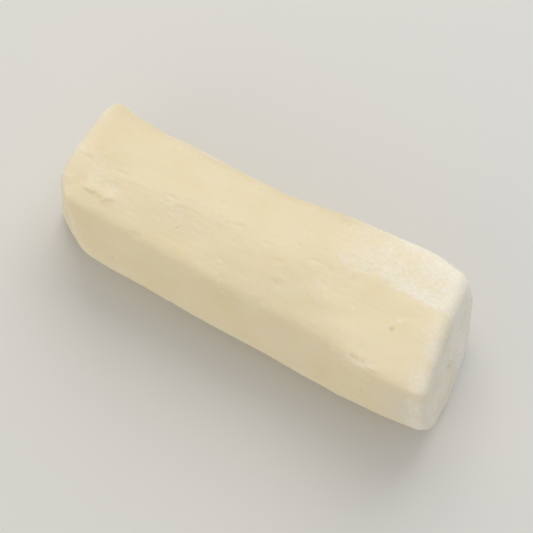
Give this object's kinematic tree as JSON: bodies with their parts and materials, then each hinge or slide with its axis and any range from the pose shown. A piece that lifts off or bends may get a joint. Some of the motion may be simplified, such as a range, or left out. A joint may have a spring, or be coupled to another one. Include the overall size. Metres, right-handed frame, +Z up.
{
  "type": "peeled cassava root piece",
  "caption": "Peeled length of cassava root with long knife-cut facets, softened ridges and two oblique cut ends, resting on a flat side.",
  "frame": {"origin": "middle of the footprint, on the surface that the piece rests on", "axes": "+X along the root towards its wider crown end, +Z up from the flat side that it rests on"},
  "size_m": [0.111, 0.043, 0.0338],
  "materials": {
    "cassava_flesh": "raw frozen cassava flesh: cream, satin, lightly frosted, with a fine lengthwise grain"
  },
  "bodies": {
    "root": {"cassava_root": "cassava_flesh"}
  },
  "joints": []
}
